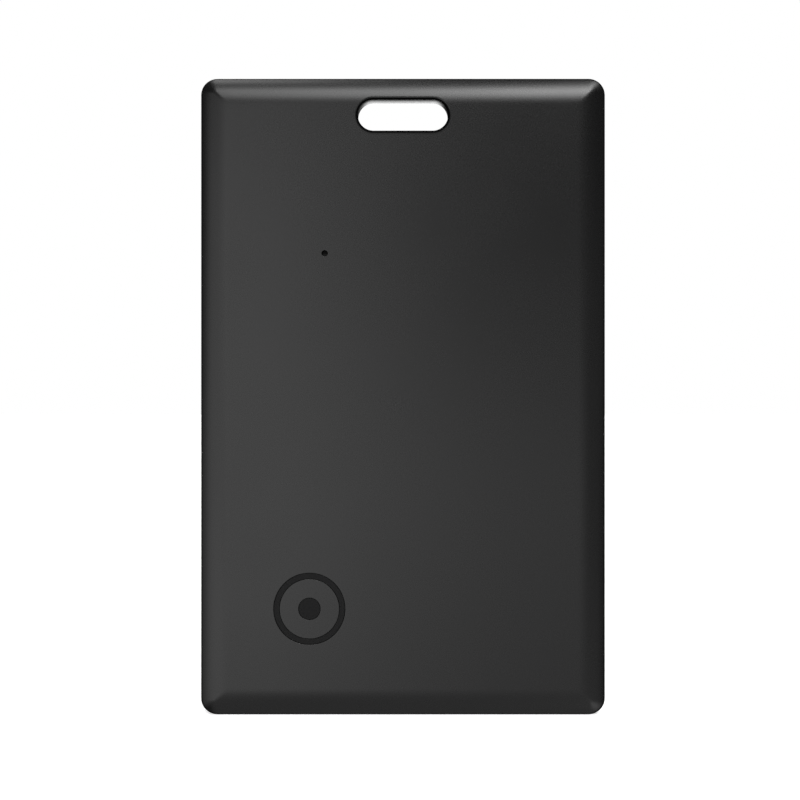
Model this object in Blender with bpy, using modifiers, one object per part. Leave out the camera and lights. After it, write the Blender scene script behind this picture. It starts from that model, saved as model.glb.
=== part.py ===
"""Card-shaped Bluetooth finder tag with a lanyard slot, standing upright.

Two bonded plastic covers hold a circuit board, a flat battery cell, a piezo
sounder behind a pinhole, and one press button over a metal snap dome.

The card is modelled lying on its back: x to the right, y up the card, z out of
its front face. An empty then turns it upright, so the front faces -Y and the
slot is at the top. The origin is the middle of the lanyard slot.
"""

import math

import bmesh
import bpy

MM = 0.001

# Card envelope
CARD_WIDTH = 54.0 * MM
CARD_HEIGHT = 85.0 * MM
CARD_THICKNESS = 2.5 * MM
CORNER_RADIUS = 2.2 * MM
SHARP_RADIUS = 0.15 * MM  # least corner radius where an inset outline would be sharp
FIT_GAP = 0.05 * MM  # bond line or clearance between neighbouring pieces

# Crowned border of the front face, an arc that leaves the flat face at no angle
BORDER_WIDTH = 3.7 * MM
BORDER_TILT = math.radians(28.0)  # slope at the border's outer end
FRONT_EDGE_RADIUS = 0.4 * MM
BACK_EDGE_RADIUS = 0.4 * MM

# Lanyard slot, whose centre is the origin
SLOT_WIDTH = 12.0 * MM
SLOT_HEIGHT = 4.13 * MM
SLOT_EDGE_RADIUS = 0.32 * MM
SLOT_DROP = 5.07 * MM  # slot centre below the card's top edge
SLOT_WALL = 1.0 * MM

# Depths behind the front face
PLATE = 0.55 * MM
SEAM_DEPTH = 1.55 * MM
RECESS_DEPTH = 1.40 * MM
FLOOR_DEPTH = 1.95 * MM
BOARD_FRONT = 1.50 * MM
BOARD_THICKNESS = 0.40 * MM

# Hollow inside the covers
RIM = 3.0 * MM
GLUE_INSET = 1.0 * MM
CAVITY_TOP = -7.5 * MM
CAVITY_RADIUS = 1.5 * MM

# Press button, places from the card's centre
BUTTON_X = -12.42 * MM
BUTTON_Y = -28.18 * MM
BUTTON_HOLE = 4.76 * MM
SEAL_OUTER = 4.71 * MM
SEAL_INNER = 4.00 * MM
CAP_RADIUS = 3.95 * MM
DOT_RADIUS = 1.42 * MM
DOME_RADIUS = 2.5 * MM
DOME_RISE = 0.22 * MM
SMALL_EDGE = 0.05 * MM

# Sounder, places from the card's centre
PORT_X = -10.39 * MM
PORT_Y = 19.02 * MM
PORT_RADIUS = 0.4 * MM
BUZZER_X = -11.6 * MM
BUZZER_Y = 18.4 * MM
BUZZER_RADIUS = 8.8 * MM
CERAMIC_RADIUS = 6.4 * MM

CORNER_STEPS = 8
TURN_STEPS = 48

CENTRE_Y = SLOT_DROP - CARD_HEIGHT / 2
CAVITY_WIDTH = CARD_WIDTH - 2 * RIM
CAVITY_BOTTOM = CENTRE_Y - CARD_HEIGHT / 2 + RIM
CAVITY_HEIGHT = CAVITY_TOP - CAVITY_BOTTOM
CAVITY_Y = (CAVITY_TOP + CAVITY_BOTTOM) / 2


def level(depth):
    """Height in the lying card's frame of a depth behind its front face."""
    return CARD_THICKNESS / 2 - depth


def clear_scene():
    for thing in list(bpy.data.objects):
        bpy.data.objects.remove(thing, do_unlink=True)


def new_collection(name):
    group = bpy.data.collections.new(name)
    bpy.context.scene.collection.children.link(group)
    return group


def new_material(name, colour, roughness, metallic=0.0):
    finish = bpy.data.materials.new(name)
    finish.use_nodes = True
    shader = finish.node_tree.nodes["Principled BSDF"]
    shader.inputs["Base Color"].default_value = (*colour, 1.0)
    shader.inputs["Roughness"].default_value = roughness
    shader.inputs["Metallic"].default_value = metallic
    return finish


clear_scene()
PARTS = new_collection("tracker_card")
CUTTERS = new_collection("cutters")
UPRIGHT = bpy.data.objects.new("upright", None)
UPRIGHT.rotation_euler = (math.radians(90), 0, 0)
PARTS.objects.link(UPRIGHT)

FINISH = {
    "shell": new_material("shell", (0.022, 0.022, 0.023), 0.42),
    "elastomer": new_material("elastomer", (0.010, 0.010, 0.011), 0.6),
    "board": new_material("board", (0.01, 0.07, 0.035), 0.45),
    "chip": new_material("chip", (0.02, 0.02, 0.022), 0.5),
    "can": new_material("can", (0.72, 0.70, 0.66), 0.3, 1.0),
    "capacitor": new_material("capacitor", (0.42, 0.30, 0.19), 0.5),
    "resistor": new_material("resistor", (0.03, 0.03, 0.04), 0.4),
    "antenna": new_material("antenna", (0.62, 0.64, 0.66), 0.45),
    "ferrite": new_material("ferrite", (0.12, 0.12, 0.13), 0.55),
    "pouch": new_material("pouch", (0.68, 0.69, 0.71), 0.35, 1.0),
    "nickel": new_material("nickel", (0.66, 0.63, 0.58), 0.3, 1.0),
    "polyimide": new_material("polyimide", (0.55, 0.27, 0.04), 0.3),
    "tape": new_material("tape", (0.75, 0.76, 0.74), 0.6),
    "foam": new_material("foam", (0.05, 0.05, 0.05), 0.95),
    "brass": new_material("brass", (0.72, 0.52, 0.20), 0.3, 1.0),
    "piezo": new_material("piezo", (0.78, 0.77, 0.73), 0.4),
    "steel": new_material("steel", (0.60, 0.60, 0.60), 0.25, 1.0),
    "film": new_material("film", (0.80, 0.80, 0.80), 0.3),
    "port_mesh": new_material("port_mesh", (0.008, 0.008, 0.008), 0.9),
    "red_wire": new_material("red_wire", (0.50, 0.02, 0.02), 0.45),
    "black_wire": new_material("black_wire", (0.015, 0.015, 0.015), 0.45),
}


def finish_part(thing, finish):
    """File an object as a part: its collection, its parent and its material."""
    for group in list(thing.users_collection):
        group.objects.unlink(thing)
    PARTS.objects.link(thing)
    thing.parent = UPRIGHT
    thing.data.materials.clear()
    thing.data.materials.append(FINISH[finish])
    return thing


def finish_cutter(thing):
    """File an object as a hidden guide that only shapes other pieces."""
    for group in list(thing.users_collection):
        group.objects.unlink(thing)
    CUTTERS.objects.link(thing)
    thing.parent = UPRIGHT
    thing.hide_render = True
    thing.display_type = "WIRE"
    return thing


def combine(thing, other, operation):
    change = thing.modifiers.new(f"{operation.lower()} {other.name}", "BOOLEAN")
    change.operation = operation
    change.object = other
    change.solver = "EXACT"


def shade(thing, sharp_above=30):
    thing.data.shade_smooth()
    thing.data.set_sharp_from_angle(angle=math.radians(sharp_above))


def rounded_outline(width, height, radius):
    """Points of a rounded rectangle about the origin, anticlockwise, without repeats."""
    points = []
    for quarter in range(4):
        side_x = 1 if quarter in (0, 3) else -1
        side_y = 1 if quarter in (0, 1) else -1
        for step in range(CORNER_STEPS + 1):
            angle = math.radians(90 * (quarter + step / CORNER_STEPS))
            x = side_x * (width / 2 - radius) + radius * math.cos(angle)
            y = side_y * (height / 2 - radius) + radius * math.sin(angle)
            points.append((x, y))
    return points


def loft(name, sections, centre=(0.0, 0.0)):
    """A closed solid through rounded rectangles (width, height, radius, depth)."""
    shape = bmesh.new()
    rings = []
    for width, height, radius, depth in sections:
        outline = rounded_outline(width, height, radius)
        rings.append([shape.verts.new((x, y, level(depth))) for x, y in outline])
    for ring, following in zip(rings, rings[1:]):
        for i in range(len(ring)):
            j = (i + 1) % len(ring)
            shape.faces.new((ring[i], ring[j], following[j], following[i]))
    shape.faces.new(rings[0])
    shape.faces.new(rings[-1])
    bmesh.ops.remove_doubles(shape, verts=shape.verts, dist=SHARP_RADIUS / 100)
    bmesh.ops.recalc_face_normals(shape, faces=shape.faces)
    mesh = bpy.data.meshes.new(name)
    shape.to_mesh(mesh)
    shape.free()
    thing = bpy.data.objects.new(name, mesh)
    thing.location = (*centre, 0)
    bpy.context.scene.collection.objects.link(thing)
    return thing


def card_section(inset, depth):
    """The card's outline drawn in by an inset, at a depth."""
    radius = max(CORNER_RADIUS - inset, SHARP_RADIUS)
    return (CARD_WIDTH - 2 * inset, CARD_HEIGHT - 2 * inset, radius, depth)


def round_plate(name, outlines, front, back, finish, centre=(0.0, 0.0)):
    """A flat piece cut to an outline; further outlines are its windows."""
    flat = bpy.data.curves.new(name, "CURVE")
    flat.dimensions = "2D"
    flat.fill_mode = "BOTH"
    flat.extrude = (back - front) / 2
    for outline in outlines:
        spline = flat.splines.new("POLY")
        spline.points.add(len(outline) - 1)
        spline.use_cyclic_u = True
        for point, (x, y) in zip(spline.points, outline):
            point.co = (x, y, 0, 1)
    thing = bpy.data.objects.new(name, flat)
    thing.location = (*centre, level((front + back) / 2))
    bpy.context.scene.collection.objects.link(thing)
    return finish_part(thing, finish)


def block(name, size, centre, front, back, finish, edge=SMALL_EDGE):
    """A small bevelled block such as a chip, lying at a depth range."""
    bpy.ops.mesh.primitive_cube_add(size=1)
    thing = bpy.context.active_object
    thing.name = name
    thing.data.name = name
    for corner in thing.data.vertices:
        corner.co.x *= size[0]
        corner.co.y *= size[1]
        corner.co.z *= back - front
    thing.location = (*centre, level((front + back) / 2))
    bevel = thing.modifiers.new("edges", "BEVEL")
    bevel.width = edge
    bevel.segments = 1
    return finish_part(thing, finish)


def cylinder_cutter(name, radius, centre, front, back, sides=TURN_STEPS):
    bpy.ops.mesh.primitive_cylinder_add(vertices=sides, radius=radius, depth=back - front)
    thing = bpy.context.active_object
    thing.name = name
    thing.location = (*centre, level((front + back) / 2))
    return finish_cutter(thing)


def turned(name, profile, centre, finish, closed=False, steps=TURN_STEPS):
    """A turned piece from (radius, depth) points, down its outer side."""
    mesh = bpy.data.meshes.new(name)
    points = [(radius, 0, level(depth)) for radius, depth in profile]
    edges = [(i, i + 1) for i in range(len(points) - 1)]
    if closed:
        edges.append((len(points) - 1, 0))
    mesh.from_pydata(points, edges, [])
    thing = bpy.data.objects.new(name, mesh)
    thing.location = (*centre, 0)
    bpy.context.scene.collection.objects.link(thing)
    screw = thing.modifiers.new("turn", "SCREW")
    screw.axis = "Z"
    screw.steps = steps
    screw.render_steps = steps
    screw.use_merge_vertices = True
    screw.merge_threshold = 1e-6
    return finish_part(thing, finish)


def wire(name, route, depth, radius, finish):
    """An insulated lead along a smooth route at one depth."""
    lead = bpy.data.curves.new(name, "CURVE")
    lead.dimensions = "3D"
    lead.bevel_depth = radius
    lead.bevel_resolution = 2
    lead.use_fill_caps = True
    spline = lead.splines.new("POLY")
    spline.points.add(len(route) - 1)
    for point, (x, y) in zip(spline.points, route):
        point.co = (x, y, level(depth), 1)
    thing = bpy.data.objects.new(name, lead)
    bpy.context.scene.collection.objects.link(thing)
    return finish_part(thing, finish)


# ---------------------------------------------------------------- covers


def border_profile():
    """(inset, depth) from the seam up the side, over the edge and along the crown."""
    edge_reach = FRONT_EDGE_RADIUS * (1 - math.sin(BORDER_TILT))
    crown_radius = (BORDER_WIDTH - edge_reach) / math.sin(BORDER_TILT)
    crown_drop = crown_radius * (1 - math.cos(BORDER_TILT))
    edge_centre = crown_drop + FRONT_EDGE_RADIUS * math.cos(BORDER_TILT)
    profile = [(0.0, SEAM_DEPTH)]
    edge_steps = 4
    for step in range(edge_steps):
        lean = math.pi / 2 + (BORDER_TILT - math.pi / 2) * step / edge_steps
        inset = FRONT_EDGE_RADIUS * (1 - math.sin(lean))
        profile.append((inset, edge_centre - FRONT_EDGE_RADIUS * math.cos(lean)))
    crown_steps = 7
    for step in range(crown_steps + 1):
        lean = BORDER_TILT * (1 - step / crown_steps)
        inset = BORDER_WIDTH - crown_radius * math.sin(lean)
        profile.append((inset, crown_radius * (1 - math.cos(lean))))
    return profile


def slot_cutter():
    """The slot's hollow: straight walls with both rims rounded over."""
    past = 0.3 * MM
    rim_steps = 3
    sections = []

    def add(spread, depth):
        height = SLOT_HEIGHT + 2 * spread
        sections.append((SLOT_WIDTH + 2 * spread, height, height / 2, depth))

    add(SLOT_EDGE_RADIUS, -past)
    for step in range(rim_steps + 1):
        turn = math.pi / 2 * (1 - step / rim_steps)
        spread = SLOT_EDGE_RADIUS * (1 - math.cos(turn))
        add(spread, SLOT_EDGE_RADIUS * (1 - math.sin(turn)))
    for step in range(rim_steps + 1):
        turn = math.pi / 2 * step / rim_steps
        spread = SLOT_EDGE_RADIUS * (1 - math.cos(turn))
        add(spread, CARD_THICKNESS - SLOT_EDGE_RADIUS * (1 - math.sin(turn)))
    add(SLOT_EDGE_RADIUS, CARD_THICKNESS + past)
    return finish_cutter(loft("slot_hollow", sections))


def cavity_section(depth):
    return (CAVITY_WIDTH, CAVITY_HEIGHT, CAVITY_RADIUS, depth)


def make_front_cover(slot_hollow):
    card_centre = (0.0, CENTRE_Y)
    sections = [card_section(inset, depth) for inset, depth in border_profile()]
    cover = finish_part(loft("front_cover", sections, card_centre), "shell")

    past = SEAM_DEPTH + 0.3 * MM
    glue_bed = [card_section(GLUE_INSET, RECESS_DEPTH), card_section(GLUE_INSET, past)]
    combine(cover, finish_cutter(loft("glue_bed", glue_bed, card_centre)), "DIFFERENCE")
    hollow = loft("front_hollow", [cavity_section(PLATE), cavity_section(past)], (0.0, CAVITY_Y))
    combine(cover, finish_cutter(hollow), "DIFFERENCE")

    wall_height = SLOT_HEIGHT + 2 * SLOT_WALL
    wall = (SLOT_WIDTH + 2 * SLOT_WALL, wall_height, wall_height / 2)
    boss = finish_cutter(loft("slot_wall", [(*wall, PLATE), (*wall, SEAM_DEPTH)]))
    combine(cover, boss, "UNION")
    combine(cover, slot_hollow, "DIFFERENCE")

    before = -0.3 * MM
    behind = PLATE + 0.3 * MM
    button_at = (BUTTON_X, CENTRE_Y + BUTTON_Y)
    combine(
        cover, cylinder_cutter("button_hole", BUTTON_HOLE, button_at, before, behind), "DIFFERENCE"
    )
    port_at = (PORT_X, CENTRE_Y + PORT_Y)
    combine(
        cover, cylinder_cutter("port_hole", PORT_RADIUS, port_at, before, behind, 24), "DIFFERENCE"
    )
    shade(cover)


POSTS = [
    (-21.4 * MM, 27.8 * MM),
    (-21.4 * MM, -7.2 * MM),
    (-21.4 * MM, -36.8 * MM),
    (21.4 * MM, -25.7 * MM),
]
POST_RADIUS = 0.7 * MM
POST_FRONT = 1.25 * MM


def make_back_cover(slot_hollow):
    card_centre = (0.0, CENTRE_Y)
    sections = [card_section(0.0, SEAM_DEPTH + FIT_GAP)]
    edge_steps = 4
    for step in range(edge_steps + 1):
        lean = math.pi / 2 * step / edge_steps
        inset = BACK_EDGE_RADIUS * (1 - math.cos(lean))
        depth = CARD_THICKNESS - BACK_EDGE_RADIUS * (1 - math.sin(lean))
        sections.append(card_section(inset, depth))
    cover = finish_part(loft("back_cover", sections, card_centre), "shell")
    before = SEAM_DEPTH - 0.3 * MM
    hollow = loft("back_hollow", [cavity_section(before), cavity_section(FLOOR_DEPTH)], (0.0, CAVITY_Y))
    combine(cover, finish_cutter(hollow), "DIFFERENCE")
    combine(cover, slot_hollow, "DIFFERENCE")
    floor_bite = FLOOR_DEPTH + 0.2 * MM
    for number, (x, y) in enumerate(POSTS, 1):
        name = f"post_{number}"
        post = cylinder_cutter(name, POST_RADIUS, (x, CENTRE_Y + y), POST_FRONT, floor_bite, 20)
        combine(cover, post, "UNION")
    shade(cover)


def shifted(outline, centre):
    return [(x + centre[0], y + centre[1]) for x, y in outline]


def circle(radius, steps, centre=(0.0, 0.0)):
    turns = [2 * math.pi * step / steps for step in range(steps)]
    return [(centre[0] + radius * math.cos(a), centre[1] + radius * math.sin(a)) for a in turns]


def make_cover_adhesive():
    """The die-cut bonding frame in the glue bed, with windows for hollow and slot."""
    margin = 0.2 * MM
    inset = GLUE_INSET + margin
    outer = rounded_outline(CARD_WIDTH - 2 * inset, CARD_HEIGHT - 2 * inset, 1.0 * MM)
    window = rounded_outline(CAVITY_WIDTH + 2 * margin, CAVITY_HEIGHT + 2 * margin, CAVITY_RADIUS)
    keep_off = 2 * (SLOT_WALL + margin)
    slot_height = SLOT_HEIGHT + keep_off
    slot = rounded_outline(SLOT_WIDTH + keep_off, slot_height, slot_height / 2 - SMALL_EDGE)
    outlines = [
        shifted(outer, (0.0, CENTRE_Y)),
        shifted(window, (0.0, CAVITY_Y)),
        slot,
    ]
    front = RECESS_DEPTH + FIT_GAP
    round_plate("cover_adhesive", outlines, front, SEAM_DEPTH, "tape")


# ---------------------------------------------------------------- button

FLANGE_FRONT = PLATE + FIT_GAP
SEAL_BACK = 0.72 * MM
CAP_FLANGE = 0.62 * MM  # how far the cap's flange reaches past its disc
CAP_BACK = 0.92 * MM
PLUNGER_FLANGE = 0.43 * MM
PLUNGER_BACK = 1.06 * MM
FILM_FRONT = 1.11 * MM
FILM_THICKNESS = 0.04 * MM
DOME_TOP = 1.20 * MM
DOME_THICKNESS = 0.06 * MM
DOME_RIM = 1.46 * MM


def make_button():
    at = (BUTTON_X, CENTRE_Y + BUTTON_Y)
    seal = [
        (SEAL_INNER, SMALL_EDGE),
        (SEAL_INNER + SMALL_EDGE, 0.0),
        (SEAL_OUTER - SMALL_EDGE, 0.0),
        (SEAL_OUTER, SMALL_EDGE),
        (SEAL_OUTER, FLANGE_FRONT),
        (SEAL_OUTER + 0.95 * MM, FLANGE_FRONT),
        (SEAL_OUTER + 0.95 * MM, SEAL_BACK),
        (SEAL_INNER, SEAL_BACK),
    ]
    turned("button_seal", seal, at, "elastomer", closed=True)

    bore = DOT_RADIUS + FIT_GAP
    cap_flange_front = SEAL_BACK + FIT_GAP
    cap = [
        (bore, SMALL_EDGE),
        (bore + SMALL_EDGE, 0.0),
        (CAP_RADIUS - SMALL_EDGE, 0.0),
        (CAP_RADIUS, SMALL_EDGE),
        (CAP_RADIUS, cap_flange_front),
        (CAP_RADIUS + CAP_FLANGE, cap_flange_front),
        (CAP_RADIUS + CAP_FLANGE, CAP_BACK),
        (bore, CAP_BACK),
    ]
    turned("button_cap", cap, at, "shell", closed=True)

    plunger = [
        (0.0, 0.0),
        (DOT_RADIUS - SMALL_EDGE, 0.0),
        (DOT_RADIUS, SMALL_EDGE),
        (DOT_RADIUS, CAP_BACK + FIT_GAP),
        (DOT_RADIUS + PLUNGER_FLANGE, CAP_BACK + FIT_GAP),
        (DOT_RADIUS + PLUNGER_FLANGE, PLUNGER_BACK),
        (0.0, PLUNGER_BACK),
    ]
    turned("button_plunger", plunger, at, "elastomer", steps=32)


def dome_fall(radius):
    """How far the dome has dropped from its crown at a radius."""
    return DOME_RISE * (radius / DOME_RADIUS) ** 2


def make_switch():
    at = (BUTTON_X, CENTRE_Y + BUTTON_Y)
    rings = 5
    radii = [DOME_RADIUS * step / rings for step in range(rings + 1)]
    top = [(radius, DOME_TOP + dome_fall(radius)) for radius in radii]
    rim = [(DOME_RADIUS, DOME_RIM), (DOME_RADIUS - 0.15 * MM, DOME_RIM)]
    under = [(radius, DOME_TOP + DOME_THICKNESS + dome_fall(radius)) for radius in radii[-2::-1]]
    turned("snap_dome", top + rim + under, at, "steel", steps=32)

    skirt = [(3.0 * MM, DOME_RIM - FILM_THICKNESS), (3.8 * MM, DOME_RIM - FILM_THICKNESS)]
    front = [(radius, FILM_FRONT + dome_fall(radius)) for radius in radii] + skirt
    back = [(radius, depth + FILM_THICKNESS) for radius, depth in reversed(front)]
    turned("dome_film", front + back, at, "film", steps=32)


# ---------------------------------------------------------------- board and its parts

BOARD_LEFT = -23.2 * MM
BOARD_RIGHT = 23.2 * MM
BOARD_INNER = -0.6 * MM  # right side of the tall arm
BOARD_TOP = 29.6 * MM
BOARD_SHOULDER = -23.2 * MM  # top of the foot
BOARD_BOTTOM = -38.8 * MM


def make_board():
    outline = [
        (BOARD_LEFT, BOARD_BOTTOM),
        (BOARD_RIGHT, BOARD_BOTTOM),
        (BOARD_RIGHT, BOARD_SHOULDER),
        (BOARD_INNER, BOARD_SHOULDER),
        (BOARD_INNER, BOARD_TOP),
        (BOARD_LEFT, BOARD_TOP),
    ]
    hole = POST_RADIUS + 0.15 * MM
    holes = [circle(hole, 20, post) for post in POSTS]
    back = BOARD_FRONT + BOARD_THICKNESS
    round_plate("main_board", [outline, *holes], BOARD_FRONT, back, "board", (0.0, CENTRE_Y))


def on_board(name, size, place, height, finish):
    """A component standing on the board's front side; place is from the card's centre."""
    back = BOARD_FRONT - FIT_GAP
    centre = (place[0], CENTRE_Y + place[1])
    return block(name, size, centre, back - height, back, finish)


COMPONENTS = [
    # name, width, height up the card, x, y, thickness, finish; millimetres from the card's centre
    ("bluetooth_chip", 5.0, 5.0, 2.6, -31.0, 0.70, "chip"),
    ("radio_crystal", 2.0, 1.6, -2.6, -29.6, 0.45, "can"),
    ("clock_crystal", 2.0, 1.2, -2.6, -33.4, 0.45, "can"),
    ("chip_antenna", 7.0, 2.0, 17.4, -36.8, 0.75, "antenna"),
    ("antenna_inductor", 1.0, 0.5, 11.6, -36.2, 0.40, "ferrite"),
    ("antenna_capacitor", 1.0, 0.5, 9.4, -36.2, 0.40, "capacitor"),
    ("sounder_driver", 2.0, 2.0, -12.0, 1.0, 0.55, "chip"),
    ("boost_inductor", 2.5, 2.0, -7.2, 1.0, 0.75, "ferrite"),
    ("boost_diode", 1.7, 1.25, -16.4, 1.0, 0.60, "chip"),
]
CAPACITORS = [(-17.0, -4.0), (-14.6, -4.0), (-12.2, -4.0), (7.6, -30.0), (7.6, -32.0), (-6.0, -36.4)]
RESISTORS = [(-8.6, -4.0), (-6.2, -4.0), (-3.8, -4.0), (-6.0, -30.0)]


def make_components():
    for name, width, height, x, y, thickness, finish in COMPONENTS:
        on_board(name, (width * MM, height * MM), (x * MM, y * MM), thickness * MM, finish)
    for number, (x, y) in enumerate(CAPACITORS, 1):
        on_board(f"capacitor_{number}", (1.0 * MM, 0.5 * MM), (x * MM, y * MM), 0.45 * MM, "capacitor")
    for number, (x, y) in enumerate(RESISTORS, 1):
        on_board(f"resistor_{number}", (1.0 * MM, 0.5 * MM), (x * MM, y * MM), 0.32 * MM, "resistor")


# ---------------------------------------------------------------- battery

CELL_WIDTH = 22.2 * MM
CELL_HEIGHT = 46.0 * MM
CELL_THICKNESS = 1.0 * MM
CELL_X = 11.9 * MM
CELL_Y = 2.8 * MM
CELL_FRONT = 0.75 * MM
TAB_WIDTH = 3.0 * MM
TAB_LENGTH = 6.0 * MM
TAB_SPREAD = 4.6 * MM
TAB_FRONT = 1.35 * MM
TAB_THICKNESS = 0.10 * MM


def make_battery():
    centre = (CELL_X, CENTRE_Y + CELL_Y)
    cell_back = CELL_FRONT + CELL_THICKNESS
    size = (CELL_WIDTH, CELL_HEIGHT)
    block("battery_cell", size, centre, CELL_FRONT, cell_back, "pouch", 0.3 * MM)

    pad = rounded_outline(CELL_WIDTH - 4 * MM, CELL_HEIGHT - 4 * MM, 1.0 * MM)
    tape_back = FLOOR_DEPTH - FIT_GAP
    round_plate("battery_tape", [pad], cell_back + FIT_GAP, tape_back, "tape", centre)
    foam_back = CELL_FRONT - FIT_GAP
    round_plate("battery_foam", [pad], PLATE + FIT_GAP, foam_back, "foam", centre)

    tab_top = CENTRE_Y + CELL_Y - CELL_HEIGHT / 2 - FIT_GAP
    tab_y = tab_top - TAB_LENGTH / 2
    tab_back = TAB_FRONT + TAB_THICKNESS
    for name, side in (("battery_tab_positive", -1), ("battery_tab_negative", 1)):
        tab_at = (CELL_X + side * TAB_SPREAD, tab_y)
        thin_edge = TAB_THICKNESS / 5
        block(name, (TAB_WIDTH, TAB_LENGTH), tab_at, TAB_FRONT, tab_back, "nickel", thin_edge)
    wrap = rounded_outline(2 * TAB_SPREAD + 2 * TAB_WIDTH, 3.0 * MM, 0.3 * MM)
    wrap_at = (CELL_X, tab_top - 2.0 * MM)
    wrap_back = TAB_FRONT - FIT_GAP
    round_plate("tab_insulator", [wrap], wrap_back - 0.06 * MM, wrap_back, "polyimide", wrap_at)


# ---------------------------------------------------------------- sounder

PLATE_FRONT = 0.76 * MM
PLATE_THICKNESS = 0.10 * MM
CERAMIC_THICKNESS = 0.12 * MM
LEAD_RADIUS = 0.14 * MM
LEAD_DEPTH = 1.25 * MM


def arc_route(start, end, bow, points=14):
    """Points from start to end along a smooth bow, sideways by the given amount."""
    route = []
    run_x = end[0] - start[0]
    run_y = end[1] - start[1]
    length = math.hypot(run_x, run_y)
    for step in range(points):
        share = step / (points - 1)
        side = bow * math.sin(math.pi * share)
        x = start[0] + run_x * share - run_y / length * side
        y = start[1] + run_y * share + run_x / length * side
        route.append((x, y))
    return route


def make_sounder():
    at = (BUZZER_X, CENTRE_Y + BUZZER_Y)
    spacer = [circle(BUZZER_RADIUS, 36), circle(BUZZER_RADIUS - 1.2 * MM, 36)]
    spacer_back = PLATE_FRONT - FIT_GAP
    round_plate("sounder_spacer", spacer, PLATE + FIT_GAP, spacer_back, "foam", at)
    plate_back = PLATE_FRONT + PLATE_THICKNESS
    round_plate("sounder_plate", [circle(BUZZER_RADIUS, 48)], PLATE_FRONT, plate_back, "brass", at)
    ceramic_front = plate_back + FIT_GAP
    ceramic_back = ceramic_front + CERAMIC_THICKNESS
    disc = [circle(CERAMIC_RADIUS, 48)]
    round_plate("sounder_ceramic", disc, ceramic_front, ceramic_back, "piezo", at)

    port = (PORT_X, CENTRE_Y + PORT_Y)
    membrane_back = PLATE + FIT_GAP + 0.06 * MM
    round_plate("port_membrane", [circle(2.0 * MM, 24)], PLATE + FIT_GAP, membrane_back, "port_mesh", port)

    pads_y = CENTRE_Y + 4.6 * MM
    red = arc_route((at[0] + 2.0 * MM, at[1] - 3.5 * MM), (-10.4 * MM, pads_y), 0.8 * MM)
    wire("sounder_lead_red", red, LEAD_DEPTH, LEAD_RADIUS, "red_wire")
    black = arc_route((at[0] - 1.6 * MM, at[1] - 7.6 * MM), (-13.6 * MM, pads_y), -0.6 * MM)
    wire("sounder_lead_black", black, LEAD_DEPTH, LEAD_RADIUS, "black_wire")


SLOT_HOLLOW = slot_cutter()
make_front_cover(SLOT_HOLLOW)
make_back_cover(SLOT_HOLLOW)
make_cover_adhesive()
make_button()
make_switch()
make_board()
make_components()
make_battery()
make_sounder()
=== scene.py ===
import math

import bmesh
import bpy
import numpy as np
from mathutils.geometry import delaunay_2d_cdt
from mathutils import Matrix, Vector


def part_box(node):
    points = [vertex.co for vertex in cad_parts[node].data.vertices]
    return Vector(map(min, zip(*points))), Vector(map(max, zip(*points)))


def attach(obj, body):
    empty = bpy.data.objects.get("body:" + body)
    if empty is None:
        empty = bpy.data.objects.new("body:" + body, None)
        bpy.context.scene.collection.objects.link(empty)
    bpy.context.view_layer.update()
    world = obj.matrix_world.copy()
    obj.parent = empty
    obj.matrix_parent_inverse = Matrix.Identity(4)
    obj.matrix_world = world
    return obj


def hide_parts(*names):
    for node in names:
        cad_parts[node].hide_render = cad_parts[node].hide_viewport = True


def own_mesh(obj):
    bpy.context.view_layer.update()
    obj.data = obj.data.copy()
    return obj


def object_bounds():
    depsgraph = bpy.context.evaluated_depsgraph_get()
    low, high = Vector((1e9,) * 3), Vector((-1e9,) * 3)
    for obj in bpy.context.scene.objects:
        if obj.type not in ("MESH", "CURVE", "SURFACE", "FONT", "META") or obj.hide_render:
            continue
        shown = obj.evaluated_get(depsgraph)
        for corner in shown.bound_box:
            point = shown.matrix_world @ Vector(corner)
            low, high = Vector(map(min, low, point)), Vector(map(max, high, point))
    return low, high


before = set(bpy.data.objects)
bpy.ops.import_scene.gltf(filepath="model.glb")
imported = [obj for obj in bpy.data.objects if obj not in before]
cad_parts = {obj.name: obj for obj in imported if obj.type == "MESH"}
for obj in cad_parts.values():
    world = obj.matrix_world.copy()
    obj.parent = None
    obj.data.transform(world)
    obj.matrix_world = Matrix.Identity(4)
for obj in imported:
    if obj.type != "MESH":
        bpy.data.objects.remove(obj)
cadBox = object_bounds()
print("frame loaded:", len(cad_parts), "nodes")

mm = 0.001

# the card's own box, from the two covers
frontY = cadBox[0].y
backY = cadBox[1].y
cardWidth = cadBox[1].x - cadBox[0].x
cardHeight = cadBox[1].z - cadBox[0].z
cardThickness = backY - frontY
cardMiddle = (0.0, (cadBox[0].z + cadBox[1].z) / 2)
slotMiddle = (0.0, 0.0)  # the part's origin


def middleOf(node):
    low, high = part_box(node)
    return ((low.x + high.x) / 2, (low.z + high.z) / 2)


def depthOf(node, side):
    # how far a node's front (0) or back (1) lies behind the front face
    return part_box(node)[side].y - frontY


# shapes: every loop is an array of (x, z) points, anticlockwise seen from the front


def roundedLoop(width, height, radius, corner=12, across=36, up=60):
    # four quarter circles about the inner corners, joined by sides cut into equal steps
    arcs = []
    for turn, (sideX, sideZ) in enumerate(((1, 1), (-1, 1), (-1, -1), (1, -1))):
        angle = np.linspace(turn, turn + 1, corner + 1) * math.pi / 2
        x = sideX * (width / 2 - radius) + radius * np.cos(angle)
        z = sideZ * (height / 2 - radius) + radius * np.sin(angle)
        arcs.append(np.column_stack((x, z)))
    runs = []
    for turn, arc in enumerate(arcs):
        following = arcs[(turn + 1) % 4][0]
        steps = across if turn % 2 == 0 else up
        share = np.arange(1, steps)[:, None] / steps
        runs += [arc, arc[-1] + (following - arc[-1]) * share]
    loop = np.vstack(runs)
    apart = np.linalg.norm(loop - np.roll(loop, 1, axis=0), axis=1)
    return loop[apart > 1e-9]


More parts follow.
